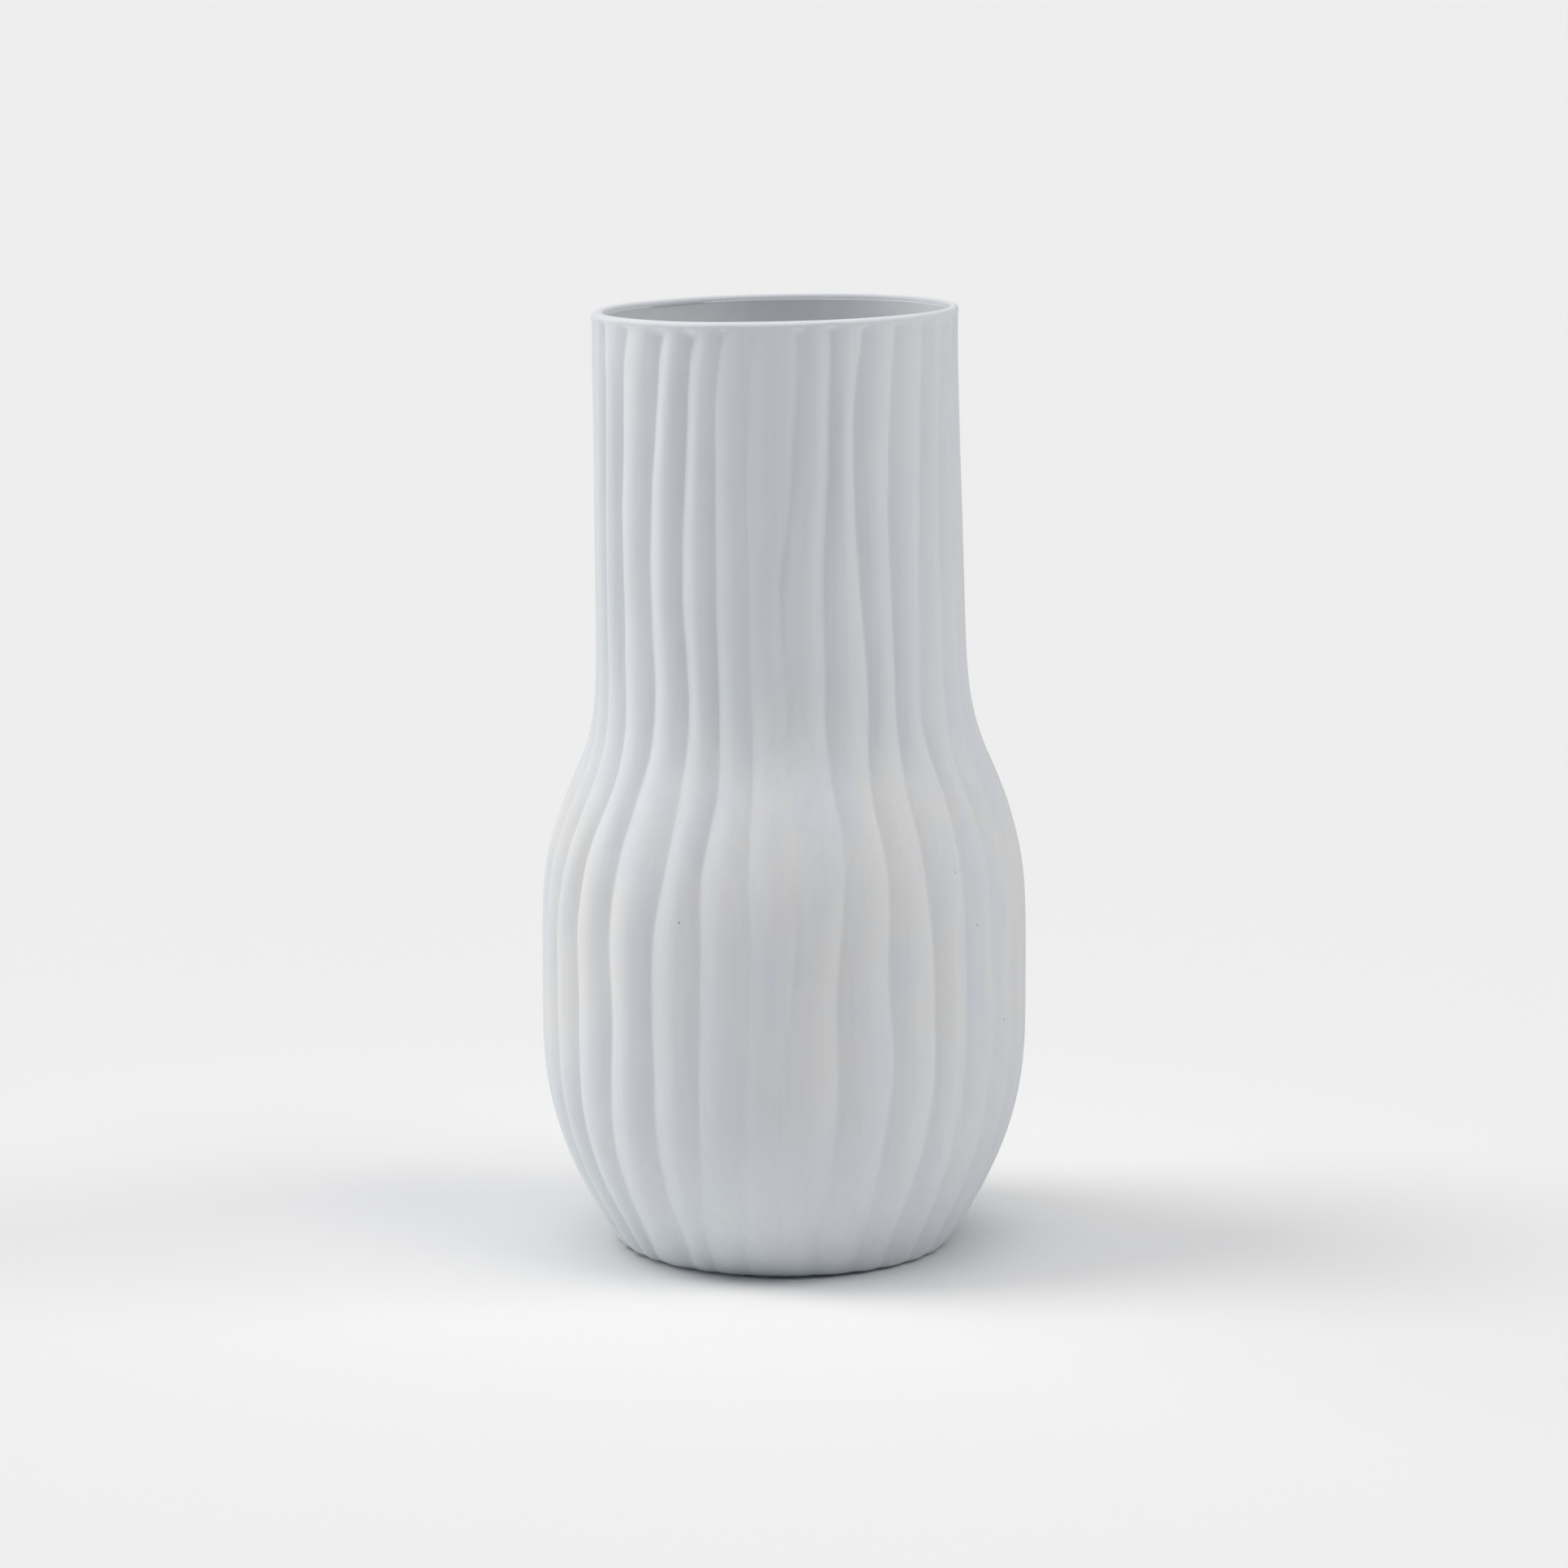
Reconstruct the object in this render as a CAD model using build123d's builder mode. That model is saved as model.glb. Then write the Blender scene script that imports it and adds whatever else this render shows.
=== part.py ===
from build123d import *

import os
from math import cos, pi, radians, sin

# A small porcelain vase, in millimetres: a carved, unglazed wall with a plain lip on top, a floor disc, a
# ground foot ring and a thin glaze lining. It stands on Z = 0 with the belly's axis on Z, and -Y is its
# front. Angles round the vase are in degrees, from the front (-Y) towards +X.

# ---- the leaning neck ------------------------------------------------------------------------
NECK_LEAN = 1.15  # degrees that the neck's axis leans towards -X
LEAN_START = 84.0  # height at which the leaning neck axis leaves the belly's axis
LEAN_BLEND = 10.0  # half the height over which one axis bends into the other

# ---- foot and floor ---------------------------------------------------------------------------
FOOT_OUTER_R = 29.6
FOOT_INNER_R = 25.4
FOOT_HEIGHT = 0.4  # gap under the wall's edge
FOOT_EDGE_R = 0.2
FLOOR_RECESS = 1.3  # height of the floor's underside
FLOOR_TOP = 4.5
FLOOR_R = 27.0

# ---- lip and mouth ----------------------------------------------------------------------------
WALL_TOP = 177.4  # seam between the carved wall and the plain lip
LIP_HEIGHT = 1.8
LIP_OUTER_R = 34.45
LIP_HOLE_R = 32.3
LIP_HOLE_SHIFT = 0.55  # the mouth sits off-centre, so the lip is thicker towards -X
LIP_OUTER_FILLET = 0.8
LIP_INNER_FILLET = 0.5

# ---- glaze lining -----------------------------------------------------------------------------
GLAZE = 0.3  # thickness
GLAZE_TOP = 178.0  # the glaze stops just under the lip's inner edge

# ---- outlines, as (height, radius) ------------------------------------------------------------
# Over the rib crests, from the rolled foot edge to the lip seam.
CREST_OUTLINE = (
    (FOOT_HEIGHT, 31.2),
    (0.8, 31.85),
    (1.6, 32.55),
    (2.6, 33.3),
    (5.0, 34.95),
    (9.0, 37.15),
    (14.0, 39.8),
    (20.0, 42.3),
    (28.0, 44.65),
    (38.0, 46.05),
    (52.0, 46.25),
    (66.0, 46.1),
    (76.0, 45.1),
    (84.0, 42.95),
    (91.0, 40.25),
    (98.0, 37.4),
    (106.0, 35.7),
    (116.0, 35.1),
    (130.0, 34.9),
    (144.0, 34.7),
    (158.0, 34.5),
    (168.0, 34.45),
    (173.0, 34.45),
    (WALL_TOP, LIP_OUTER_R),
)
# The hollow, from the floor to above the lip.
HOLLOW_OUTLINE = (
    (FLOOR_TOP, FLOOR_R),
    (6.0, 30.8),
    (10.0, 34.3),
    (18.0, 38.5),
    (28.0, 41.5),
    (40.0, 43.1),
    (54.0, 43.3),
    (66.0, 43.1),
    (76.0, 42.0),
    (84.0, 39.9),
    (91.0, 37.3),
    (98.0, 34.7),
    (106.0, 33.1),
    (118.0, 32.6),
    (140.0, 32.4),
    (160.0, 32.3),
    (170.0, LIP_HOLE_R),
    (182.0, LIP_HOLE_R),
)

# ---- carved grooves ---------------------------------------------------------------------------
RIB_COUNT = 32
GROOVE_DEPTH = 1.15
# How deep the grooves are along the height, as (height, share of GROOVE_DEPTH).
DEPTH_ALONG = (
    (0.0, 0.9),
    (8.0, 0.85),
    (25.0, 0.9),
    (60.0, 1.0),
    (90.0, 1.05),
    (120.0, 1.0),
    (171.0, 0.95),
    (WALL_TOP, 0.3),
)
# The front grooves were cut freehand. Each row is one groove: its angle at each of ROUTE_HEIGHTS, then
# its depth as a share of the others, which is one number or, where it fades and deepens, one a height.
ROUTE_HEIGHTS = (5, 25, 45, 65, 80, 92, 110, 130, 150, 165, 178)
FRONT_GROOVES = (
    ((-67.5, -70, -71, -71, -69, -67, -71, -72, -71.5, -70, -70), 1.0),
    ((-57, -60, -58, -59.5, -58, -55, -58, -60, -59.5, -57.5, -53.5), 1.0),
    ((-48.5, -47.5, -45, -46.5, -45.5, -44, -43, -44.5, -44, -40.5, -38), 1.0),
    ((-32.5, -33, -32.5, -33, -30, -29.5, -30, -32, -30.5, -29, -26), 1.0),
    (
        (-24, -21, -20, -20, -20.5, -18.5, -20, -20, -19.5, -19, -15.5),
        (0.6, 0.55, 0.75, 0.8, 1.0, 1.1, 0.9, 0.7, 0.6, 0.5, 0.5),
    ),
    (
        (-12, -9.5, -8.5, -7.5, -9, -8.5, -9.5, -9, -9.5, -8, -5.5),
        (0.6, 0.35, 0.15, 0.25, 0.7, 0.85, 0.45, 0.3, 0.3, 0.25, 0.25),
    ),
    (
        (-1, 0, 0.5, 3, 3.5, 2, 2, 0.5, 5, 6.5, 7.5),
        (0.1, 0.1, 0.3, 0.5, 0.25, 0.45, 0.6, 0.75, 0.7, 0.55, 0.5),
    ),
    ((10.5, 12.5, 12.5, 13, 15.5, 14, 13.5, 14, 16.5, 17.5, 17.5), 0.75),
    ((25, 25, 26.5, 25, 26, 25, 28, 26, 25, 25.5, 29), 0.85),
    ((35, 37, 38.5, 37.5, 36.5, 36, 38, 37, 38, 39, 41), 0.85),
    ((47.5, 46.5, 48.5, 48, 48.5, 49, 48, 49.5, 52, 53, 54.5), 0.8),
    ((59.5, 58.5, 59.5, 58.5, 59.5, 58, 61.5, 62.5, 62.5, 65, 67.5), 0.75),
)
# The grooves round the back are evenly spaced between the first and the last of the front, each a
# little off its place, and they wander in waves of (degrees, mm of height per radian, phase step).
BACK_OFF_PLACE = 1.2
BACK_PHASE_STEP = 3.9
BACK_WAVES = ((1.3, 19.0, 2.4), (0.8, 9.0, 1.7))
BACK_DEPTH_MEAN = 0.85
BACK_DEPTH_CHANGE = 0.15
BACK_DEPTH_STEP = 5.1


def smooth(points, height):
    """The value at a height of a smooth line through (height, value) points."""
    below = 0
    while below < len(points) - 2 and height > points[below + 1][0]:
        below += 1
    (h0, v0), (h1, v1) = points[below], points[below + 1]
    before = points[max(below - 1, 0)]
    after = points[min(below + 2, len(points) - 1)]
    span = h1 - h0
    slope0 = (v1 - before[1]) / (h1 - before[0]) * span
    slope1 = (after[1] - v0) / (after[0] - h0) * span
    t = min(max((height - h0) / span, 0.0), 1.0)
    start = (1 + 2 * t) * (1 - t) ** 2 * v0 + t * (1 - t) ** 2 * slope0
    end = t**2 * (3 - 2 * t) * v1 + t**2 * (t - 1) * slope1
    return start + end


def level(height):
    """The plane across the vase at a height: level in the belly, square to the leaning neck above it."""
    t = min(max((height - LEAN_START + LEAN_BLEND) / (2 * LEAN_BLEND), 0.0), 1.0)
    lean = radians(NECK_LEAN) * t * t * (3 - 2 * t)
    bend = LEAN_BLEND * (1 - abs(2 * t - 1)) ** 2 / 4
    shift = -radians(NECK_LEAN) * (max(height - LEAN_START, 0.0) + bend)
    return Plane(
        origin=(shift, 0, height),
        x_dir=(cos(lean), 0, sin(lean)),
        z_dir=(-sin(lean), 0, cos(lean)),
    )


def hole_shift(height):
    """How far the hollow's centre stands off the wall's, at a height."""
    return LIP_HOLE_SHIFT * max(height - LEAN_START, 0.0) / (WALL_TOP - LEAN_START)


def front_groove(index, height):
    """A front groove's angle in degrees and its depth as a share, at a height."""
    angles, depths = FRONT_GROOVES[index]
    if isinstance(depths, float):
        depths = (depths,) * len(ROUTE_HEIGHTS)
    angle = smooth(list(zip(ROUTE_HEIGHTS, angles)), height)
    share = smooth(list(zip(ROUTE_HEIGHTS, depths)), height)
    return angle, share


def groove(index, height):
    """Any groove's angle in degrees and its depth as a share, at a height."""
    if index < len(FRONT_GROOVES):
        return front_groove(index, height)
    first = front_groove(0, height)[0] + 360
    last = front_groove(-1, height)[0]
    gaps = RIB_COUNT - len(FRONT_GROOVES) + 1
    step = index - len(FRONT_GROOVES) + 1
    wander = BACK_OFF_PLACE * sin(BACK_PHASE_STEP * index)
    for swing, length, phase in BACK_WAVES:
        wander += swing * sin(height / length + phase * index)
    # the wander dies out beside the front grooves, so that no rib closes up
    freedom = sin(pi * step / gaps) ** 0.5
    share = BACK_DEPTH_MEAN + BACK_DEPTH_CHANGE * sin(BACK_DEPTH_STEP * index)
    return last + (first - last) * step / gaps + freedom * wander, share


def at(radius, angle):
    """The point of a section at a radius and an angle from the front."""
    return (radius * sin(radians(angle)), -radius * cos(radians(angle)))


def rib_outline(height, crest_r):
    """One section's points: each groove's bottom, and the crest of the rib after it."""
    depth = GROOVE_DEPTH * smooth(DEPTH_ALONG, height)
    cuts = [groove(i, height) for i in range(RIB_COUNT)]
    turns = [angle for angle, _ in cuts] + [cuts[0][0] + 360]
    bottoms = [at(crest_r - depth * share, angle) for angle, share in cuts]
    crests = [at(crest_r, (turns[i] + turns[i + 1]) / 2) for i in range(RIB_COUNT)]
    return bottoms, crests


os.makedirs("parts", exist_ok=True)

# ---- carved block: a loft of scalloped sections, with one arc for each rib -----------------------
with BuildPart() as carved_block:
    for height, crest_r in CREST_OUTLINE:
        bottoms, crests = rib_outline(height, crest_r)
        with BuildSketch(level(height)):
            with BuildLine():
                for i in range(RIB_COUNT):
                    ThreePointArc(bottoms[i], crests[i], bottoms[(i + 1) % RIB_COUNT])
            make_face()
    loft()

# ---- hollow: a loft of circles, which gives the wall, the lip and the glaze their inside ---------
with BuildPart() as hollow:
    for height, hollow_r in HOLLOW_OUTLINE:
        with BuildSketch(level(height)):
            with Locations((hole_shift(height), 0)):
                Circle(hollow_r)
    loft()

# ---- glazed hollow: what the lining leaves of it ------------------------------------------------
with BuildPart() as glazed_hollow:
    for height, hollow_r in HOLLOW_OUTLINE:
        with BuildSketch(level(max(height, FLOOR_TOP + GLAZE))):
            with Locations((hole_shift(height), 0)):
                Circle(hollow_r - GLAZE)
    loft()

# ---- ribbed wall -------------------------------------------------------------------------------
with BuildPart() as ribbed_wall:
    add(carved_block.part)
    add(hollow.part, mode=Mode.SUBTRACT)
    with BuildSketch(Plane.XY.offset(FOOT_HEIGHT)):
        Circle(FLOOR_R)
    extrude(amount=FLOOR_TOP - FOOT_HEIGHT, mode=Mode.SUBTRACT)
ribbed_wall.part.label = "ribbed_wall"
export_step(ribbed_wall.part, "parts/ribbed_wall.step")

# ---- rim lip: a plain round-edged band on top of the wall --------------------------------------
with BuildPart() as rim_lip:
    with BuildSketch(level(WALL_TOP)):
        Circle(LIP_OUTER_R)
    extrude(amount=LIP_HEIGHT)
    fillet(rim_lip.faces().sort_by(Axis.Z)[-1].edges(), LIP_OUTER_FILLET)
    add(hollow.part, mode=Mode.SUBTRACT)
    mouth_edge = rim_lip.faces().sort_by(Axis.Z)[-1].edges().sort_by(SortBy.LENGTH)[0]
    fillet(mouth_edge, LIP_INNER_FILLET)
rim_lip.part.label = "rim_lip"
export_step(rim_lip.part, "parts/rim_lip.step")

# ---- floor disc: closes the wall's foot hole ----------------------------------------------------
with BuildPart() as floor_disc:
    with BuildSketch(Plane.XY.offset(FLOOR_RECESS)):
        Circle(FLOOR_R)
    extrude(amount=FLOOR_TOP - FLOOR_RECESS)
floor_disc.part.label = "floor_disc"
export_step(floor_disc.part, "parts/floor_disc.step")

# ---- foot ring: stands under the wall and the floor disc, with an inner step up to the disc -----
with BuildPart() as foot_ring:
    with BuildSketch(Plane.XZ):
        with BuildLine():
            Polyline(
                (FOOT_INNER_R, 0),
                (FOOT_OUTER_R, 0),
                (FOOT_OUTER_R, FOOT_HEIGHT),
                (FLOOR_R, FOOT_HEIGHT),
                (FLOOR_R, FLOOR_RECESS),
                (FOOT_INNER_R, FLOOR_RECESS),
                close=True,
            )
        make_face()
    revolve(axis=Axis.Z)
    fillet(foot_ring.faces().sort_by(Axis.Z)[0].edges(), FOOT_EDGE_R)
foot_ring.part.label = "foot_ring"
export_step(foot_ring.part, "parts/foot_ring.step")

# ---- inner glaze: a thin glassy lining over the floor and up to the lip's inner edge ------------
with BuildPart() as inner_glaze:
    add(hollow.part)
    split(bisect_by=level(GLAZE_TOP), keep=Keep.BOTTOM)
    add(glazed_hollow.part, mode=Mode.SUBTRACT)
inner_glaze.part.label = "inner_glaze"
export_step(inner_glaze.part, "parts/inner_glaze.step")
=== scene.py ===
"""A small ribbed porcelain vase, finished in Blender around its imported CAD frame.

Units are metres. The vase stands on Z = 0 with the belly's axis on Z, and -Y is its front.
Angles round the vase are in radians, from the front (-Y) towards +X.
"""

from math import cos, pi, radians, sin, sqrt

import bpy
import numpy as np
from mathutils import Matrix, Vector
from mathutils.bvhtree import BVHTree


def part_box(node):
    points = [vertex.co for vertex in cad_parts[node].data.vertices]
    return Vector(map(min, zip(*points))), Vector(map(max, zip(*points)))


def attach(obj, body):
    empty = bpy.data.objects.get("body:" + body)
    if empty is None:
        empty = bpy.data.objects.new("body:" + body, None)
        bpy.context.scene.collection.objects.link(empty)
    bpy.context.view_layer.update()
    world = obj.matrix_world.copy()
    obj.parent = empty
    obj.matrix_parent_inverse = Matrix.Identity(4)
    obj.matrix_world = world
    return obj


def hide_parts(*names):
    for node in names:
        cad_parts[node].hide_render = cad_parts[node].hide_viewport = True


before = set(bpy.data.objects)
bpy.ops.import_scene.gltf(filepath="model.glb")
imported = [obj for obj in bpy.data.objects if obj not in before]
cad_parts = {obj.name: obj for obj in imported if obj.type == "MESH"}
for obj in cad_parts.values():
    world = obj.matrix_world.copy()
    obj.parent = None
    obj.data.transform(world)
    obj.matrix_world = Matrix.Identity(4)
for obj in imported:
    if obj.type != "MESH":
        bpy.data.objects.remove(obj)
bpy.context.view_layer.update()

MM = 0.001
RIB_COUNT = 32

# ---- mesh density ------------------------------------------------------------------------------
# Where the columns of one rib stand between two grooves: close together at the grooves.
RIB_COLUMNS = np.array((0, 0.022, 0.05, 0.1, 0.18, 0.3, 0.44, 0.56, 0.7, 0.82, 0.9, 0.95, 0.978))
ROW_STEP = 1.0 * MM
HOLLOW_ROW_STEP = 6 * MM
LATHE_SEGMENTS = 192

# ---- freehand carving ---------------------------------------------------------------------------
RIB_POWER = 2.0  # 2 is a round rib; higher is flatter on top and steeper at its grooves
GROOVE_ROUND = 0.07  # rounding of a groove's bottom, as a share of half a rib
GROOVE_EXTRA = 1.25  # depth, as a share of the CAD groove's
GROOVE_WOBBLE = 0.10 * MM  # sideways
WOBBLE_RUN = 3 * MM  # length over which the wobble is smooth
GROOVE_UNEVEN = 0.08  # share by which the depth comes and goes
UNEVEN_RUN = 6 * MM
CREST_SINK = 0.02 * MM  # keeps the crests inside those of the CAD wall

# ---- where the grooves run out under the lip -----------------------------------------------------
GROOVE_RUN_OUT = 1.5 * MM
GROOVE_END_ABOVE_SEAM = 1.0 * MM
GROOVE_END_UNEVEN = 0.3 * MM
STEADY_UNDER_SEAM = 7 * MM  # the depth doesn't come and go above this

# ---- where the grooves grow shallow over the base's edge ------------------------------------------
BASE_FADE = 5 * MM
BASE_DEPTH = 0.4  # share of the depth that is left at the edge

# ---- lip ----------------------------------------------------------------------------------------
LIP_OUTER_ROUND = 0.85 * MM  # height of the rounding
LIP_INNER_ROUND = 1.3 * MM
LIP_OUTER_SHARE = 0.45  # shares of the lip's thickness that the roundings take
LIP_INNER_SHARE = 0.32
LIP_UNEVEN = 0.08 * MM
LIP_SIDE_STEPS = (0.35, 0.7, 1.0)  # shares of the straight side, up to the outer rounding
LIP_OUTER_TURNS = (15, 30, 45, 60, 75, 90)  # degrees
LIP_INNER_TURNS = (90, 72, 54, 36, 18, 0)
LIP_HOLE_END = 0.12  # share of the lip's height where its last row is, behind the glaze

# ---- glaze, floor and foot -----------------------------------------------------------------------
SKIN_GAP = 0.03 * MM  # between pieces that would otherwise share a face
GLAZE_END = 0.5 * MM  # under the top of the CAD's lining
GLAZE_EDGE = 0.06 * MM  # thickness at the top edge
GLAZE_THICKNESS = 0.3 * MM
GLAZE_TAPER = 12 * MM  # length over which it thins to its top edge
POOL_HEIGHT = 7 * MM  # of the curve from the wall into the floor
POOL_STEPS = 8
POOL_REACH = 0.86  # where the curve ends on the floor, as a share of the floor's radius
FLUTE = 0.10 * MM  # ripples of the glaze round its inside
FLUTE_TWIST = 9.0  # radians per metre of height
FLUTE_FADE_LOW = 40 * MM
FLUTE_FADE_HIGH = 8 * MM
TRIM_STEPS = 110
TRIM_RINGS = 9
TRIM_DEPTH = 0.07 * MM
EDGE_ROUND = 0.2 * MM  # of the foot's two edges
EDGE_TURNS = (0, 30, 60, 90)  # degrees
FOOT_UNEVEN = 0.12 * MM

# ---- colours, as linear RGBA ---------------------------------------------------------------------
BISQUE_LIGHT = (0.847, 0.866, 0.891, 1)
BISQUE_DARK = (0.826, 0.847, 0.876, 1)
BISQUE_BLUE = (0.812, 0.838, 0.893, 1)
# green of the random patches, and also the painted cool shade towards the foot
BISQUE_GREEN_AND_SHADE = (0.818, 0.855, 0.876, 1)
# painted light: the warm tone laid over the belly by height
BISQUE_PAINTED_WARM_LIGHT = (0.870, 0.864, 0.856, 1)
BISQUE_PIT = (0.12, 0.12, 0.13, 1)
GLAZE_THIN = (0.945, 0.957, 0.97, 1)
GLAZE_THICK = (0.84, 0.865, 0.88, 1)
GLAZE_PIT = (0.2, 0.2, 0.2, 1)
GROUND_SOILED = (0.70, 0.69, 0.66, 1)
GROUND_CLEAN = (0.83, 0.83, 0.82, 1)
GROUND_SPECK = (0.45, 0.43, 0.4, 1)
PAPER_TONES = (0.878, 0.882)

# ---- where and how far the materials change ------------------------------------------------------
COLOR_DRIFT = 14 * MM  # by which the next three heights go up and down from place to place
# heights of the painted warm light over the belly, then of the painted cool shade towards the foot
PAINTED_LIGHT_FROM = (28 * MM, 52 * MM)
PAINTED_LIGHT_UNTIL = (90 * MM, 108 * MM)
PAINTED_SHADE_UNTIL = (4 * MM, 38 * MM)
GLAZE_THINS = (5 * MM, 14 * MM)
BISQUE_ROUGH = (0.56, 0.7)
GLAZE_ROUGH = (0.36, 0.46)
GROUND_ROUGH = 0.85
PAPER_ROUGH = 0.9
DRAG_TONE = 0.014  # share by which the tool's drag marks are lighter and darker
DRAG_DEPTH = 0.014 * MM
SWELL_DEPTH = 0.02 * MM
GRAIN_DEPTH = 0.012 * MM
BISQUE_PIT_DEPTH = 0.15 * MM
GLAZE_PIT_DEPTH = 0.1 * MM
ORANGE_PEEL_DEPTH = 0.03 * MM
SCRATCH_DEPTH = 0.01 * MM
SUGAR_DEPTH = 0.03 * MM
PINHOLES_PER_METRE = 95.0
PINHOLE_R = 0.22 * MM

SEED = 7
rng = np.random.default_rng(SEED)


# ==== small maths =================================================================================


def smooth_step(t):
    """0 up to t = 0 and 1 from t = 1, eased between."""
    t = np.clip(t, 0.0, 1.0)
    return t * t * (3 - 2 * t)


def fit_circle(points):
    """The centre and radius of the circle nearest to some (x, y) points."""
    rows = np.column_stack((2 * points, np.ones(len(points))))
    x, y, c = np.linalg.lstsq(rows, (points**2).sum(1), rcond=None)[0]
    return x, y, sqrt(c + x * x + y * y)


def blur(values, sigma):
    """Values down the first axis, blurred over sigma rows, with both ends kept in place."""
    reach = int(3 * sigma) + 1
    weights = np.exp(-0.5 * (np.arange(-reach, reach + 1) / sigma) ** 2)
    weights /= weights.sum()
    before = 2 * values[:1] - values[reach:0:-1]
    after = 2 * values[-1:] - values[-2 : -reach - 2 : -1]
    padded = np.concatenate((before, values, after))
    return sum(w * padded[i : i + len(values)] for i, w in enumerate(weights))


def spline(knots, values, at):
    """The natural cubic spline through values at knots, read at other places.

    Values may have several columns."""
    knots, values, at = (np.asarray(v, float) for v in (knots, values, at))
    table = values if values.ndim == 2 else values[:, None]
    n, gap = len(knots), np.diff(knots)
    system, target = np.eye(n), np.zeros_like(table)
    for i in range(1, n - 1):
        system[i, i - 1 : i + 2] = gap[i - 1], 2 * (gap[i - 1] + gap[i]), gap[i]
        target[i] = 6 * ((table[i + 1] - table[i]) / gap[i] - (table[i] - table[i - 1]) / gap[i - 1])
    bend = np.linalg.solve(system, target)
    i = np.clip(np.searchsorted(knots, at) - 1, 0, n - 2)
    g = gap[i][:, None]
    b = (at - knots[i])[:, None] / g
    a = 1 - b
    out = a * table[i] + b * table[i + 1] + ((a**3 - a) * bend[i] + (b**3 - b) * bend[i + 1]) * g * g / 6
    return out if values.ndim == 2 else out[:, 0]


def wander(rows, columns, sigma):
    """Smooth noise down each column, about 1 high."""
    margin = 100
    noise = rng.standard_normal((rows + 2 * margin, columns))
    noise = blur(noise, sigma)[margin:-margin]
    return noise / noise.std()


def ring_noise(angles, waves):
    """Smooth noise round a ring, about 1 high, from sines of random phase."""
    total = np.zeros_like(angles)
    for n in waves:
        total += rng.uniform(0.5, 1.0) * np.sin(n * angles + rng.uniform(0, 2 * pi))
    return total / sqrt(len(waves) / 2)


# ==== reading the CAD frame =======================================================================


def cad_tree(node):
    """A search tree over one CAD node's faces."""
    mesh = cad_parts[node].data
    return BVHTree.FromPolygons([v.co for v in mesh.vertices], [tuple(p.vertices) for p in mesh.polygons])


def seam_plane():
    """A point and the upward normal of the seam between the wall and the lip."""
    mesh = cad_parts["rim_lip"].data
    down = [p for p in mesh.polygons if p.normal.z < -0.9]
    area = sum(p.area for p in down)
    centre = sum((p.center * p.area for p in down), Vector()) / area
    normal = -sum((p.normal * p.area for p in down), Vector()).normalized()
    return np.array(centre), np.array(normal)


class Spine:
    """The vase's axis, which leans in the neck, and the plane across the vase at each height."""

    BEND_FROM = 74 * MM
    BEND_TO = 94 * MM
    FAR = 0.1  # farther from the axis than the vase's outside
    END_MARGIN = 2 * MM
    STEP = 6 * MM
    RAYS = 96

    def __init__(self, tree, low, seam, normal):
        self.normal = normal
        self.heights = np.arange(low + self.END_MARGIN, seam[2] - self.END_MARGIN, self.STEP)
        self.centres = np.zeros((len(self.heights), 2))
        turns = np.linspace(0, 2 * pi, self.RAYS, endpoint=False)
        level = np.column_stack((np.cos(turns), np.sin(turns), 0 * turns))
        for k, h in enumerate(self.heights):
            reach = self.cast(tree, (0, 0, h), level)
            x, y, _ = fit_circle(level[:, :2] * reach[:, None])
            self.centres[k] = x, y
        self.centres = blur(self.centres, 1.0)

    def cast(self, tree, origin, outward):
        """How far out of an origin a node's outer side is, in each direction."""
        origin = Vector(origin)
        reach = [tree.ray_cast(origin + d * self.FAR, -d)[3] for d in map(Vector, outward)]
        return self.FAR - np.array(reach)

    def plane(self, h):
        """Origin, sideways direction and front direction of the plane at a height."""
        lean = smooth_step((h - self.BEND_FROM) / (self.BEND_TO - self.BEND_FROM))
        normal = np.array((self.normal[0] * lean, self.normal[1] * lean, 1.0))
        normal /= np.linalg.norm(normal)
        side = np.array((1.0, 0.0, 0.0)) - normal * normal[0]
        side /= np.linalg.norm(side)
        x, y = (np.interp(h, self.heights, self.centres[:, k]) for k in (0, 1))
        return np.array((x, y, h)), side, np.cross(side, normal)

    def directions(self, h, angles):
        """Unit vectors outwards in the plane at a height."""
        _, side, front = self.plane(h)
        angles = np.asarray(angles)[:, None]
        return np.sin(angles) * side + np.cos(angles) * front

    def outer(self, tree, h, angles):
        """A node's outer radii at a height."""
        return self.cast(tree, self.plane(h)[0], self.directions(h, angles))

    def inner(self, tree, h, angles):
        """A node's inner radii at a height."""
        origin = Vector(self.plane(h)[0])
        return np.array([tree.ray_cast(origin, d)[3] for d in map(Vector, self.directions(h, angles))])

    def point(self, h, radii, angles, lift=0.0):
        """Points in the plane at a height, or that far above it along its normal."""
        origin, side, front = self.plane(h)
        up = np.cross(front, side)
        return origin + np.asarray(radii)[:, None] * self.directions(h, angles) + lift * up


wall_tree = cad_tree("ribbed_wall")
wall_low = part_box("ribbed_wall")[0].z
seam_centre, seam_normal = seam_plane()
SEAM = seam_centre[2]
spine = Spine(wall_tree, wall_low, seam_centre, seam_normal)
# the seam's height on the spine, not at the centre of the lip's lower face
SEAM -= (spine.plane(SEAM)[0][0] - seam_centre[0]) * seam_normal[0] / seam_normal[2]


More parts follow.
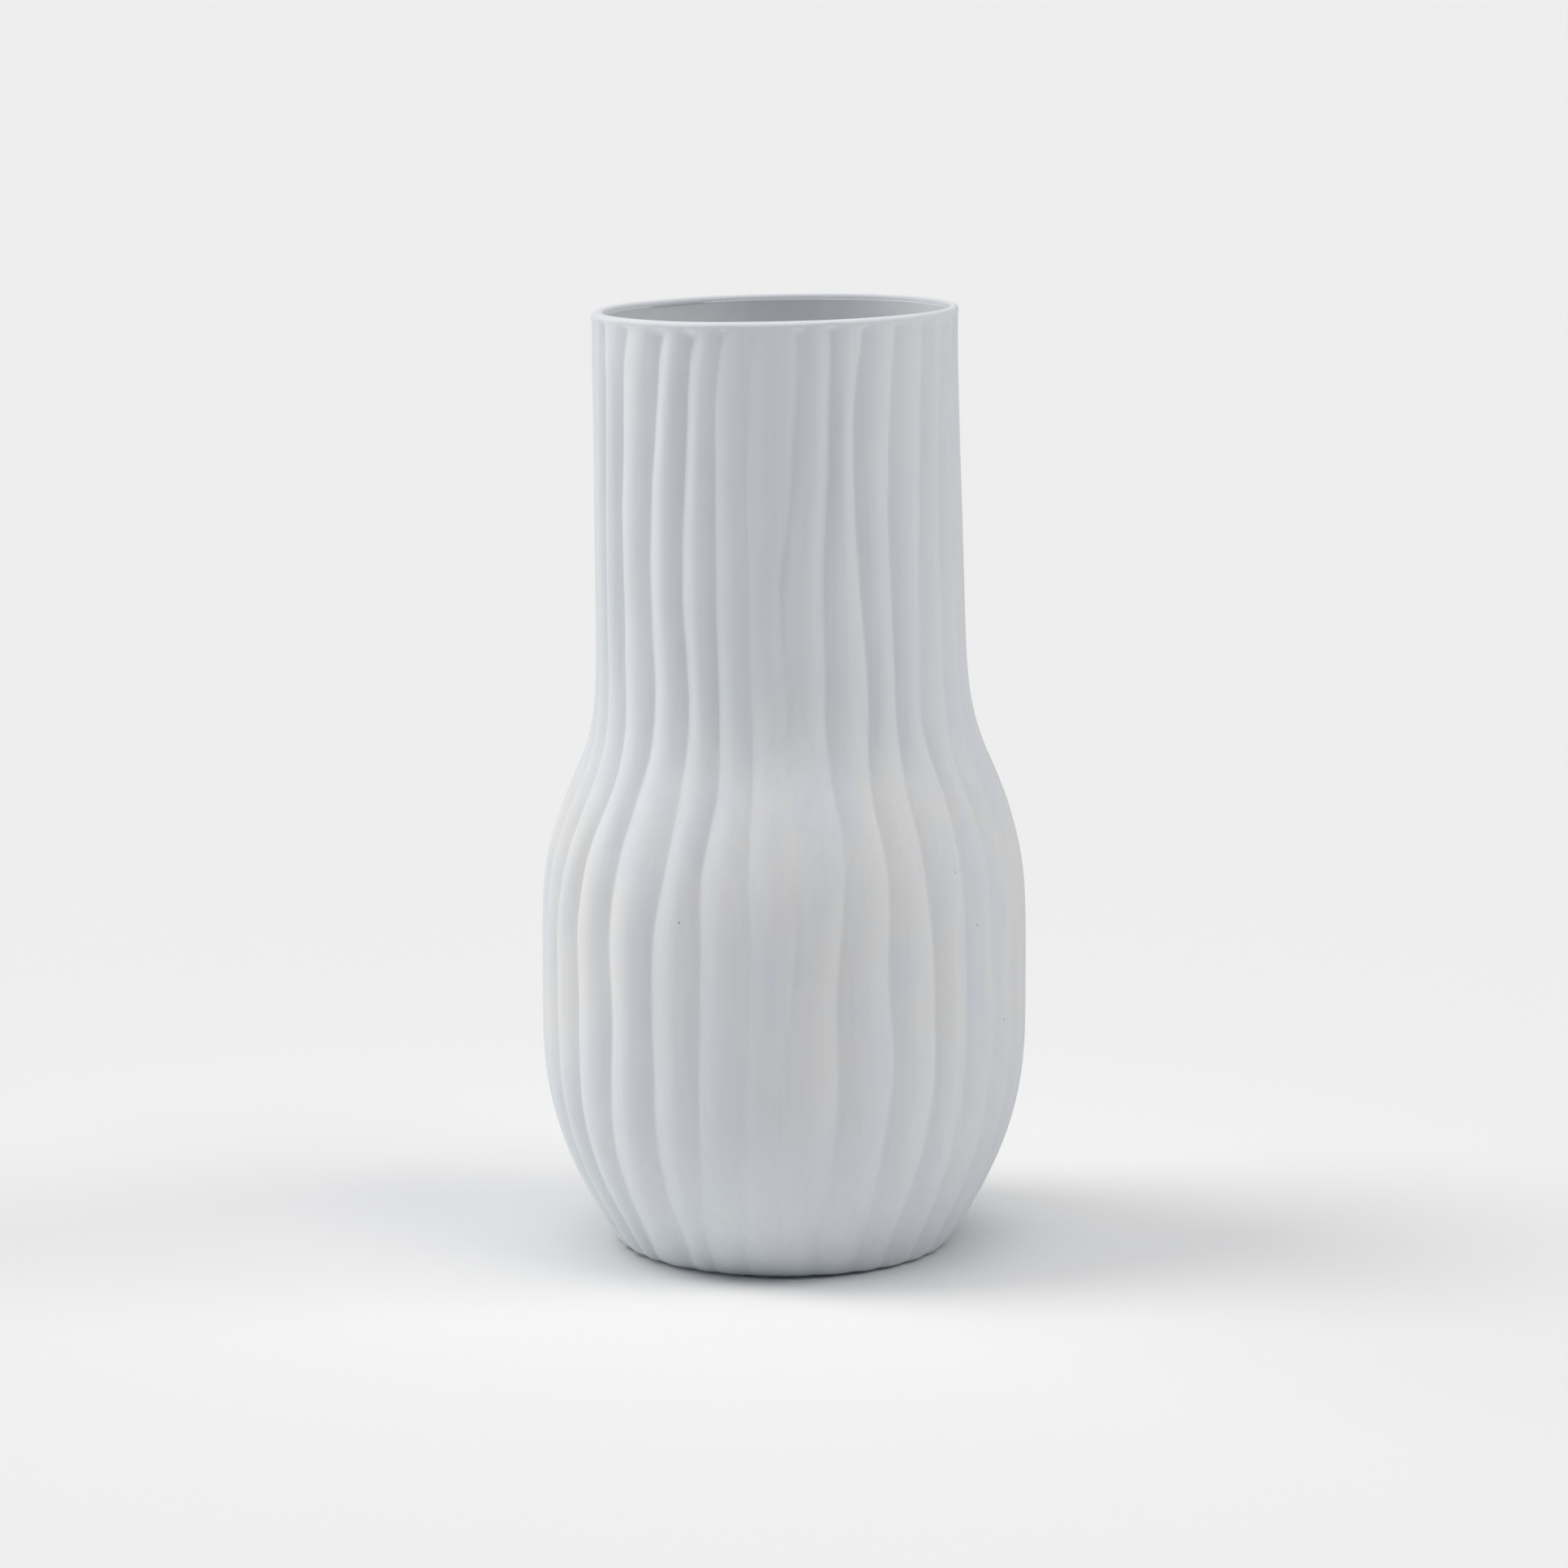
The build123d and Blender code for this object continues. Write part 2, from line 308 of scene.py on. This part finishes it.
def follow_grooves(heights, start):
    """Every groove's angle and depth at each height, read from the CAD wall.

    A groove is a kink where two ribs meet, and it is followed both ways from the start height."""
    rays = 1440
    wing = 5  # rays to each side that a kink is measured over
    window = 16  # rays to each side that a groove may move between two heights
    pull = 2e-8  # metres per squared ray, in favour of a groove that goes straight on
    turns = np.linspace(0, 2 * pi, rays, endpoint=False)
    rings = np.array([spine.outer(wall_tree, h, turns) for h in heights])
    kink = np.roll(rings, wing, 1) + np.roll(rings, -wing, 1) - 2 * rings
    first = int(np.argmin(abs(heights - start)))
    found = []
    for i in np.argsort(-kink[first]):
        if all(min((i - j) % rays, (j - i) % rays) > rays / RIB_COUNT / 2 for j in found):
            found.append(float(i))
        if len(found) == RIB_COUNT:
            break
    found.sort()
    places = np.empty((len(heights), RIB_COUNT))
    around = np.arange(-window, window + 1)
    for rows in (range(first, len(heights)), range(first, -1, -1)):
        near = found
        for row in rows:
            moved = []
            for i in near:
                strength = kink[row][(round(i) + around) % rays] - pull * around**2
                best = int(np.argmax(strength[1:-1])) + 1
                a, b, c = strength[best - 1 : best + 2]
                moved.append(round(i) + around[best] + 0.5 * (a - c) / (a - 2 * b + c))
            near = places[row] = moved
    looped = np.column_stack((rings, rings[:, :1]))
    depths = np.empty_like(places)
    for row, ring in enumerate(looped):
        middles = (places[row] + np.append(places[row][1:], places[row][0] + rays)) / 2
        crest = np.interp(middles % rays, np.arange(rays + 1), ring).mean()
        depths[row] = crest - np.interp(places[row] % rays, np.arange(rays + 1), ring)
    return places * 2 * pi / rays, depths


# ==== meshes ======================================================================================


def new_piece(name, points, faces, material, replaced, normals=None):
    """One smooth-shaded piece that stands for a CAD node."""
    mesh = bpy.data.meshes.new(name)
    mesh.from_pydata(np.asarray(points).tolist(), [], faces)
    mesh.polygons.foreach_set("use_smooth", [True] * len(mesh.polygons))
    if normals is not None:
        mesh.normals_split_custom_set_from_vertices(np.asarray(normals).tolist())
    mesh.validate()
    piece = bpy.data.objects.new(name, mesh)
    bpy.context.scene.collection.objects.link(piece)
    piece.data.materials.append(material)
    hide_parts(replaced)
    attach(piece, "root")
    return piece


def grid_faces(rows, columns, closed):
    """Quads between the rows of a grid that is closed round its columns, and maybe round its rows."""
    faces = []
    for r in range(rows if closed else rows - 1):
        this, after = r * columns, (r + 1) % rows * columns
        for c in range(columns):
            d = (c + 1) % columns
            faces.append((this + c, this + d, after + d, after + c))
    return faces


def vertex_normals(points, faces):
    """The smooth normal at each point of a mesh."""
    mesh = bpy.data.meshes.new("normals")
    mesh.from_pydata(points.tolist(), [], faces)
    normals = np.empty(len(points) * 3, np.float32)
    mesh.vertex_normals.foreach_get("vector", normals)
    bpy.data.meshes.remove(mesh)
    return normals.reshape(-1, 3)


# ==== the carved wall and the lip =================================================================

TRACK_STEP = 2 * MM
TRACK_BLUR = 1.5  # steps
TRACK_START = 98 * MM  # a height where all the grooves are distinct
TRACK_OVER_BASE = 0.2 * MM
TRACK_UNDER_SEAM = 0.6 * MM
track = np.arange(wall_low + TRACK_OVER_BASE, SEAM - TRACK_UNDER_SEAM, TRACK_STEP)
groove_angles, groove_depths = follow_grooves(track, TRACK_START)
groove_angles = blur(groove_angles, TRACK_BLUR)
groove_depths = blur(groove_depths, TRACK_BLUR)

# The outline over the crests is read at these heights, which are close together where it bends.
LOW_HEIGHTS_MM = (0.45, 0.85, 1.6, 2.6, 4.6, 8, 13, 19, 27, 37, 50, 64)
HIGH_HEIGHTS_MM = (75, 83, 90, 97, 105, 115, 130, 150, 166)
outline_heights = np.append(np.array(LOW_HEIGHTS_MM + HIGH_HEIGHTS_MM) * MM, SEAM - 0.2 * MM)
middles = (groove_angles + np.roll(groove_angles, -1, 1)) / 2
middles[:, -1] += pi
crest_radii = []
for h in outline_heights:
    at = [np.interp(h, track, middles[:, i]) for i in range(RIB_COUNT)]
    crest_radii.append(np.median(spine.outer(wall_tree, h, at)))
outline_heights[0], outline_heights[-1] = wall_low, SEAM
outline = np.column_stack((crest_radii, outline_heights))
along = np.append(0, np.cumsum(np.linalg.norm(np.diff(outline, axis=0), axis=1)))
row_count = int(along[-1] / ROW_STEP)
row_crests, row_heights = spline(along, outline, np.linspace(0, along[-1], row_count)).T
row_heights[0], row_heights[-1] = wall_low, SEAM
row_crests = row_crests - CREST_SINK

row_angles = spline(track, groove_angles, row_heights)
row_depths = np.array([np.interp(row_heights, track, groove_depths[:, i]) for i in range(RIB_COUNT)]).T
row_depths *= 1 + GROOVE_UNEVEN * wander(row_count, RIB_COUNT, UNEVEN_RUN / ROW_STEP)
row_angles += GROOVE_WOBBLE / row_crests[:, None] * wander(row_count, RIB_COUNT, WOBBLE_RUN / ROW_STEP)

# every groove runs out at its own height, on the lip's side
groove_ends = SEAM + GROOVE_END_ABOVE_SEAM + GROOVE_END_UNEVEN * rng.uniform(-1, 1, RIB_COUNT)
steady_from = np.searchsorted(row_heights, SEAM - STEADY_UNDER_SEAM)
row_depths[steady_from:] = row_depths[steady_from]


def run_out(h):
    """What is left of each groove's depth at a height."""
    over_base = BASE_DEPTH + (1 - BASE_DEPTH) * smooth_step((h - wall_low) / BASE_FADE)
    return over_base * smooth_step((groove_ends - h) / GROOVE_RUN_OUT)


def carve(depths):
    """How deep each column of a row lies under the crests, for the grooves' depths."""
    depths = np.column_stack((depths, np.roll(depths, -1)))
    away = 2 * np.abs(RIB_COLUMNS - np.round(RIB_COLUMNS))
    share = (1 - np.sqrt(away**2 + GROOVE_ROUND**2) + GROOVE_ROUND) ** RIB_POWER
    return (depths[:, (RIB_COLUMNS > 0.5).astype(int)] * share * GROOVE_EXTRA).ravel()


def column_angles(starts):
    """Each column's angle in a row, for the grooves' angles."""
    widths = np.append(starts[1:], starts[0] + 2 * pi) - starts
    return (starts[:, None] + widths[:, None] * RIB_COLUMNS[None, :]).ravel()


wall_rows = []
for h, crest_r, starts, depths in zip(row_heights, row_crests, row_angles, row_depths):
    radii = crest_r - carve(depths * run_out(h))
    wall_rows.append(spine.point(h, radii, column_angles(starts)))
seam_angles = column_angles(row_angles[-1])
columns = len(seam_angles)

# ---- lip -----------------------------------------------------------------------------------------
LIP_SIDE_AT = 0.4 * MM  # above the seam, where the lip's outer side is read
LIP_HOLE_AT = 0.3 * MM
origin, side, front = spine.plane(SEAM)
above = np.cross(front, side)
lip_vertices = np.array([v.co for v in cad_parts["rim_lip"].data.vertices])
lip_height = ((lip_vertices - origin) @ above).max()
lip_tree = cad_tree("rim_lip")
lip_r = spine.outer(lip_tree, SEAM + LIP_SIDE_AT, seam_angles).mean() - CREST_SINK
hole_radii = spine.inner(lip_tree, SEAM + LIP_HOLE_AT, seam_angles)
height_change = -LIP_UNEVEN * (0.5 + 0.5 * np.clip(ring_noise(seam_angles, (2, 3, 5, 7)), -1, 1))
width_change = LIP_UNEVEN * ring_noise(seam_angles, (2, 3, 4, 6))

lip_top = lip_height + height_change
lip_inner = hole_radii + width_change
thickness = lip_r - lip_inner
lip_rows = []


def lip_row(radii, lift):
    """Adds one row of the lip, which stands some way above the seam."""
    lip_rows.append(spine.point(SEAM, radii, seam_angles, lift[:, None]))


for share in LIP_SIDE_STEPS:
    lift = share * (lip_top - LIP_OUTER_ROUND)
    lip_row(lip_r - carve(row_depths[-1] * run_out(SEAM + lift.mean())), lift)
for turn in np.radians(LIP_OUTER_TURNS):
    lift = lip_top - LIP_OUTER_ROUND * (1 - sin(turn))
    lip_row(lip_r - LIP_OUTER_SHARE * thickness * (1 - cos(turn)), lift)
for turn in np.radians(LIP_INNER_TURNS):
    lift = lip_top - LIP_INNER_ROUND * (1 - sin(turn))
    lip_row(lip_inner + LIP_INNER_SHARE * thickness * (1 - cos(turn)), lift)
lip_row(hole_radii, LIP_HOLE_END * lip_top)

# ---- the wall's inner side, behind the glaze ------------------------------------------------------
HOLLOW_LOW_ROWS_MM = (6.0, 3.0, 1.5, 0.05)  # above the floor, where the wall curves in to it
floor_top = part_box("floor_disc")[1].z
floor_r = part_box("floor_disc")[1].x
hollow_heights = np.arange(SEAM - HOLLOW_ROW_STEP, floor_top + POOL_HEIGHT, -HOLLOW_ROW_STEP)
hollow_heights = np.append(hollow_heights, floor_top + np.array(HOLLOW_LOW_ROWS_MM) * MM)
inner_rows = [spine.point(SEAM, hole_radii, seam_angles)]
for h in hollow_heights:
    inner_rows.append(spine.point(h, spine.inner(wall_tree, h, seam_angles), seam_angles))
inner_rows.append(spine.point(wall_low, floor_r + 0 * seam_angles, seam_angles))

skin = np.concatenate((wall_rows, lip_rows, inner_rows))
skin_normals = vertex_normals(skin.reshape(-1, 3), grid_faces(len(skin), columns, True)).reshape(skin.shape)
lip_span = np.arange(row_count - 1, row_count + len(lip_rows) + 1)
wall_span = np.append(np.arange(row_count + len(lip_rows), len(skin)), np.arange(row_count))


def ring_piece(name, span, node, material):
    """The piece that some rows of the skin and one closing strip make."""
    return new_piece(
        name,
        skin[span].reshape(-1, 3),
        grid_faces(len(span), columns, True),
        material,
        node,
        skin_normals[span].reshape(-1, 3),
    )


# ---- glaze lining --------------------------------------------------------------------------------
glaze_tree = cad_tree("inner_glaze")
glaze_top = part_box("inner_glaze")[1].z - GLAZE_END
glaze_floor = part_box("inner_glaze")[0].z
turns = np.linspace(0, 2 * pi, LATHE_SEGMENTS, endpoint=False)


def level_ring(h, radii):
    """A ring of points at a height, with one radius or one for each point."""
    return spine.point(h, radii + 0 * turns, turns)


def lining_rings():
    """The lining's rings, from the middle of its underside, up outside it and down inside it."""
    underside = glaze_floor + SKIN_GAP
    floor = spine.inner(glaze_tree, glaze_floor + 1.2 * MM, turns).mean()
    level_top = glaze_floor + GLAZE_THICKNESS
    wall_end_height = SEAM - 0.3 * MM  # the wall's inside is read no higher than this
    rings = [level_ring(underside, share * (floor_r - SKIN_GAP)) for share in (0.5, 1.0)]
    heights = [h for h in hollow_heights[::-1] if h > glaze_floor + 1 * MM]
    heights += [SEAM - 1 * MM, glaze_top - 0.12 * MM, glaze_top]
    for h in heights:
        radii = spine.inner(wall_tree, min(h, wall_end_height), turns) - SKIN_GAP
        rings.append(level_ring(h, radii))
    pool_top = glaze_floor + POOL_HEIGHT
    for h in heights[:0:-1]:
        if h < pool_top:
            continue
        thick = GLAZE_EDGE + (GLAZE_THICKNESS - GLAZE_EDGE) * smooth_step((glaze_top - h) / GLAZE_TAPER)
        radii = spine.inner(wall_tree, min(h, wall_end_height), turns) - thick
        fade = smooth_step((h - pool_top) / FLUTE_FADE_LOW) * smooth_step((glaze_top - h) / FLUTE_FADE_HIGH)
        flutes = (1 - np.cos(RIB_COUNT * turns + FLUTE_TWIST * h)) / 2
        rings.append(level_ring(h, radii - FLUTE * fade * flutes))
    # below that, the glaze has pooled and curves from the wall into the floor
    wall_end = np.array((spine.inner(glaze_tree, pool_top, turns).mean(), pool_top))
    corner = np.array((floor, level_top))
    floor_end = np.array((POOL_REACH * floor, level_top))
    for t in np.linspace(0, 1, POOL_STEPS + 1)[1:]:
        r, h = (1 - t) ** 2 * wall_end + 2 * t * (1 - t) * corner + t * t * floor_end
        rings.append(level_ring(h, r))
    for share in (0.6, 0.3):
        rings.append(level_ring(level_top, share * floor))
    return rings


# ==== materials ===================================================================================


class Nodes:
    """A material's node tree, with short ways to add and join nodes."""

    def __init__(self, name):
        self.material = bpy.data.materials.new(name)
        self.material.use_nodes = True
        self.tree = self.material.node_tree
        self.surface = self.tree.nodes["Principled BSDF"]
        self.place = self.tree.nodes.new("ShaderNodeTexCoord").outputs["Object"]

    def fill(self, node, inputs):
        """Sets a node's sockets by name or number, or links them when the value is itself a socket."""
        for socket, value in inputs.items():
            if isinstance(value, bpy.types.NodeSocket):
                self.tree.links.new(value, node.inputs[socket])
            else:
                node.inputs[socket].default_value = value

    def add(self, kind, inputs, **settings):
        """A new node of a kind, with its settings and its sockets filled."""
        node = self.tree.nodes.new("ShaderNode" + kind)
        for setting, value in settings.items():
            setattr(node, setting, value)
        self.fill(node, inputs)
        return node

    def stretched(self, x, y, z):
        """The place in the object, scaled on each axis for another texture."""
        return self.add("Mapping", {"Vector": self.place, "Scale": (x, y, z)}).outputs["Vector"]

    def noise(self, scale, detail=2.0, place=None):
        inputs = {"Vector": place or self.place, "Scale": scale, "Detail": detail}
        return self.add("TexNoise", inputs).outputs["Fac"]

    def ramp(self, value, low, high, to_low=0.0, to_high=1.0):
        """A value's way from low to high, eased and carried over to another range."""
        inputs = {"Value": value, "From Min": low, "From Max": high, "To Min": to_low, "To Max": to_high}
        return self.add("MapRange", inputs, interpolation_type="SMOOTHSTEP").outputs["Result"]

    def math(self, operation, a, b):
        return self.add("Math", {0: a, 1: b}, operation=operation).outputs[0]

    def mix(self, share, first, second):
        factor, a, b, result = 0, 6, 7, 2  # the Mix node's sockets for colours
        return self.add("Mix", {factor: share, a: first, b: second}, data_type="RGBA").outputs[result]

    def scaled(self, color, by):
        """A colour made lighter or darker by a factor."""
        return self.add("VectorMath", {0: color, "Scale": by}, operation="SCALE").outputs["Vector"]

    def bump(self, height, distance, before=None):
        """Bumps of a height in metres under the surface normal, over earlier bumps."""
        inputs = {"Height": height, "Distance": distance}
        if before is not None:
            inputs["Normal"] = before
        return self.add("Bump", inputs).outputs["Normal"]


def pinholes(nodes, per_metre, radius):
    """1 in sparse tiny pits and 0 elsewhere."""
    cells = nodes.add("TexVoronoi", {"Vector": nodes.place, "Scale": per_metre}, feature="F1")
    return nodes.ramp(cells.outputs["Distance"], 0.5 * radius * per_metre, radius * per_metre, 1.0, 0.0)


def bisque(name, streaks=1.0):
    """Unglazed porcelain, smooth and matte: cloudy and a little bluer or greener in patches, with
    fine tool drag marks, a powdery grain and a few pinholes. Painted light and shade by height sit on
    top: a painted warm light over the belly, and a painted cool, slightly darker shade towards the foot."""
    nodes = Nodes(name)
    clouds = nodes.ramp(nodes.noise(55.0, 3.0), 0.32, 0.68)
    color = nodes.mix(clouds, BISQUE_DARK, BISQUE_LIGHT)
    height = nodes.add("SeparateXYZ", {0: nodes.place}).outputs["Z"]
    drift = nodes.ramp(nodes.noise(22.0, 2.0), 0.3, 0.7, -COLOR_DRIFT, COLOR_DRIFT)
    height = nodes.math("ADD", height, drift)
    # painted light: a warm tint over the belly by height, standing in for the warmer light that falls there
    above = nodes.ramp(height, *PAINTED_LIGHT_FROM)
    below = nodes.ramp(height, *PAINTED_LIGHT_UNTIL, 1.0, 0.0)
    belly = nodes.math("MULTIPLY", above, below)
    color = nodes.mix(nodes.math("MULTIPLY", belly, 0.85), color, BISQUE_PAINTED_WARM_LIGHT)
    # painted shade: cooler and a little darker towards the foot by height, joined with the random green
    # patches
    foot = nodes.ramp(height, *PAINTED_SHADE_UNTIL, 1.0, 0.0)
    patches = nodes.ramp(nodes.noise(95.0, 2.0, nodes.stretched(1, 1, 0.6)), 0.48, 0.66)
    green_and_painted_shade = nodes.math("MAXIMUM", nodes.math("MULTIPLY", patches, 0.75), foot)
    color = nodes.mix(green_and_painted_shade, color, BISQUE_GREEN_AND_SHADE)
    patches = nodes.noise(70.0, 2.0, nodes.stretched(1.3, 1.3, 0.5))
    color = nodes.mix(nodes.ramp(patches, 0.5, 0.68, 0.0, 0.8), color, BISQUE_BLUE)
    drag = nodes.noise(900.0, 2.0, nodes.stretched(1, 1, 0.03))
    tone = DRAG_TONE * streaks
    color = nodes.scaled(color, nodes.ramp(drag, 0.25, 0.75, 1 - tone, 1 + tone))
    pits = pinholes(nodes, PINHOLES_PER_METRE, PINHOLE_R)
    color = nodes.mix(nodes.math("MULTIPLY", pits, 0.6), color, BISQUE_PIT)
    grain = nodes.noise(4200.0, 3.0)
    normal = nodes.bump(drag, DRAG_DEPTH * streaks)
    normal = nodes.bump(nodes.noise(420.0, 2.0), SWELL_DEPTH, normal)
    normal = nodes.bump(grain, GRAIN_DEPTH, normal)
    normal = nodes.bump(nodes.math("MULTIPLY", pits, -1.0), BISQUE_PIT_DEPTH, normal)
    rough = nodes.ramp(nodes.noise(160.0, 2.0), 0.3, 0.7, *BISQUE_ROUGH)
    nodes.fill(nodes.surface, {"Base Color": color, "Roughness": rough, "Normal": normal})
    nodes.fill(nodes.surface, {"Specular IOR Level": 0.35})
    return nodes.material


def clear_glaze():
    """Satin to glossy glaze over the white body, greyer where it is thick, with slight orange peel."""
    nodes = Nodes("clear_glaze")
    height = nodes.add("SeparateXYZ", {0: nodes.place}).outputs["Z"]
    color = nodes.mix(nodes.ramp(height, *GLAZE_THINS), GLAZE_THICK, GLAZE_THIN)
    clouds = nodes.ramp(nodes.noise(60.0, 3.0, nodes.stretched(1, 1, 0.4)), 0.3, 0.7, 0.97, 1.02)
    color = nodes.scaled(color, clouds)
    pits = pinholes(nodes, PINHOLES_PER_METRE, PINHOLE_R)
    color = nodes.mix(nodes.math("MULTIPLY", pits, 0.4), color, GLAZE_PIT)
    normal = nodes.bump(nodes.noise(260.0, 2.0), ORANGE_PEEL_DEPTH)
    normal = nodes.bump(nodes.math("MULTIPLY", pits, -1.0), GLAZE_PIT_DEPTH, normal)
    rough = nodes.ramp(nodes.noise(90.0, 2.0), 0.35, 0.65, *GLAZE_ROUGH)
    nodes.fill(nodes.surface, {"Base Color": color, "Roughness": rough, "Normal": normal, "IOR": 1.5})
    return nodes.material


def ground_porcelain():
    """The foot's ground flat: bare, sugary and slightly soiled, with fine grinding scratches round it."""
    nodes = Nodes("ground_porcelain")
    worn = nodes.ramp(nodes.noise(220.0, 4.0), 0.35, 0.7)
    color = nodes.mix(worn, GROUND_SOILED, GROUND_CLEAN)
    specks = nodes.ramp(nodes.noise(1500.0, 2.0), 0.62, 0.7)
    color = nodes.mix(nodes.math("MULTIPLY", specks, 0.35), color, GROUND_SPECK)
    waves = {"Vector": nodes.place, "Scale": 700.0, "Distortion": 2.0}
    rings = nodes.add("TexWave", waves, wave_type="RINGS", rings_direction="Z")
    normal = nodes.bump(rings.outputs["Fac"], SCRATCH_DEPTH)
    normal = nodes.bump(nodes.noise(3000.0, 3.0), SUGAR_DEPTH, normal)
    nodes.fill(nodes.surface, {"Base Color": color, "Roughness": GROUND_ROUGH, "Normal": normal})
    return nodes.material


# ==== floor and foot ==============================================================================


def capped_piece(name, rings, node, material):
    """A closed lathe-like piece from rings, with its first and last ring filled to a middle point."""
    points = np.concatenate(rings)
    middles = np.array((rings[0].mean(0), rings[-1].mean(0)))
    faces = grid_faces(len(rings), LATHE_SEGMENTS, False)
    first_middle = len(points)
    last_middle = len(points) + 1
    last_ring = len(points) - LATHE_SEGMENTS
    for c in range(LATHE_SEGMENTS):
        d = (c + 1) % LATHE_SEGMENTS
        faces.append((first_middle, d, c))
        faces.append((last_middle, last_ring + c, last_ring + d))
    return new_piece(name, np.concatenate((points, middles)), faces, material, node)


def floor_rings():
    """The floor disc's rings, with the trimming tool's faint spiral under it."""
    low, high = (corner.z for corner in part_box("floor_disc"))
    radius = floor_r - SKIN_GAP
    rings = []
    for r in np.linspace(0.3 * MM, radius, TRIM_STEPS):
        wave = (1 - np.cos(2 * pi * TRIM_RINGS * r / radius - turns)) / 2
        calm = smooth_step((radius - r) / (3 * MM)) * smooth_step(r / (2 * MM))
        rings.append(level_ring(low, r))
        rings[-1][:, 2] += TRIM_DEPTH * wave * calm
    rings.append(level_ring(high - SKIN_GAP, radius))
    rings.append(level_ring(high - SKIN_GAP, 0.5 * radius))
    return rings


def foot_rings():
    """The foot's rings: up its outer side, over its stepped top and down its inner side."""
    foot_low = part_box("foot_ring")[0].z
    foot_high = wall_low - SKIN_GAP
    outer_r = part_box("foot_ring")[1].x
    outer = outer_r - FOOT_UNEVEN * (0.5 + 0.5 * np.clip(ring_noise(turns, (2, 3, 5, 9)), -1, 1))
    inner = foot_inner + FOOT_UNEVEN * (0.5 + 0.5 * np.clip(ring_noise(turns, (2, 4, 7)), -1, 1))
    rings = []
    for turn in np.radians(EDGE_TURNS):
        lift = EDGE_ROUND * (1 - cos(turn))
        rings.append(level_ring(foot_low + lift, outer - EDGE_ROUND * (1 - sin(turn))))
    rings.append(level_ring(foot_high, outer))
    rings.append(level_ring(foot_high, floor_r + SKIN_GAP))
    step_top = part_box("floor_disc")[0].z - SKIN_GAP
    rings.append(level_ring(step_top, floor_r - SKIN_GAP))
    rings.append(level_ring(step_top, inner))
    for turn in np.radians(EDGE_TURNS[::-1]):
        lift = EDGE_ROUND * (1 - cos(turn))
        rings.append(level_ring(foot_low + lift, inner + EDGE_ROUND * (1 - sin(turn))))
    return rings


foot_vertices = np.array([v.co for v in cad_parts["foot_ring"].data.vertices])
foot_inner = np.hypot(foot_vertices[:, 0], foot_vertices[:, 1]).min()

wall_bisque = bisque("carved_bisque")
floor_bisque = bisque("trimmed_bisque", 0.4)
ring_piece("carved_wall", wall_span, "ribbed_wall", wall_bisque)
ring_piece("plain_lip", lip_span, "rim_lip", wall_bisque)
capped_piece("glaze_lining", lining_rings(), "inner_glaze", clear_glaze())
capped_piece("trimmed_floor", floor_rings(), "floor_disc", floor_bisque)
foot = foot_rings()
foot_faces = grid_faces(len(foot), LATHE_SEGMENTS, True)
foot_points = np.concatenate(foot)
new_piece("ground_foot", foot_points, foot_faces, ground_porcelain(), "foot_ring")

# ==== stage =======================================================================================
FLOOR_HALF = 60.0
WORLD_COLOR = (0.467, 0.652, 1.0, 1)
WORLD_STRENGTH = 0.092

scene = bpy.context.scene
scene.view_settings.view_transform = "Standard"


def paper():
    """Matte pale paper, with hardly any change of tone."""
    nodes = Nodes("paper")
    tone = nodes.ramp(nodes.noise(3.0, 2.0), 0.3, 0.7, *PAPER_TONES)
    color = nodes.add("CombineXYZ", {0: tone, 1: tone, 2: tone}).outputs[0]
    nodes.fill(nodes.surface, {"Base Color": color, "Roughness": PAPER_ROUGH, "Specular IOR Level": 0.0})
    return nodes.material


floor_mesh = bpy.data.meshes.new("floor")
corners = [(FLOOR_HALF * x, FLOOR_HALF * y, 0) for x, y in ((-1, -1), (1, -1), (1, 1), (-1, 1))]
floor_mesh.from_pydata(corners, [], [(0, 1, 2, 3)])
floor = bpy.data.objects.new("floor", floor_mesh)
scene.collection.objects.link(floor)
floor.data.materials.append(paper())

world = bpy.data.worlds.new("world")
scene.world = world
world.use_nodes = True
sky = world.node_tree.nodes["Background"]
sky.inputs["Color"].default_value = WORLD_COLOR
sky.inputs["Strength"].default_value = WORLD_STRENGTH

# Soft lights far away: name, degrees round from the front towards +X, degrees up, degrees across,
# strength and colour.
LIGHTS = (
    ("top", 0, 87, 40, 1.206, (1.0, 0.988, 0.971)),
    ("left", -90, 60, 24, 1.007, (1.0, 0.980, 0.952)),
    ("left_low", -90, 10, 24, 0.351, (0.960, 1.0, 0.986)),
    ("left_back", -120, 10, 24, 0.575, (1.0, 0.957, 0.897)),
    ("right", 90, 35, 24, 0.51, (1.0, 0.973, 0.908)),
    ("right_front", 60, 60, 24, 0.445, (1.0, 0.962, 0.897)),
)
for name, around, up, across, strength, color in LIGHTS:
    data = bpy.data.lights.new(name, "SUN")
    data.angle = radians(across)
    data.energy = strength
    data.color = color
    light = bpy.data.objects.new(name, data)
    a, e = radians(around), radians(up)
    away = Vector((sin(a) * cos(e), -cos(a) * cos(e), sin(e)))
    light.rotation_euler = away.to_track_quat("Z", "Y").to_euler()
    scene.collection.objects.link(light)

# ---- camera --------------------------------------------------------------------------------------
CAMERA_PLACE = (0.0, -0.9787, 0.25655)
CAMERA_PITCH = 9.739  # degrees below the horizon
CAMERA_LENS = 119.85  # mm
CAMERA_SENSOR = 36  # mm
cam_data = bpy.data.cameras.new("camera")
cam_data.lens = CAMERA_LENS
cam_data.sensor_width = CAMERA_SENSOR
camera = bpy.data.objects.new("camera", cam_data)
camera.location = CAMERA_PLACE
camera.rotation_euler = (radians(90 - CAMERA_PITCH), 0, 0)
scene.collection.objects.link(camera)
scene.camera = camera
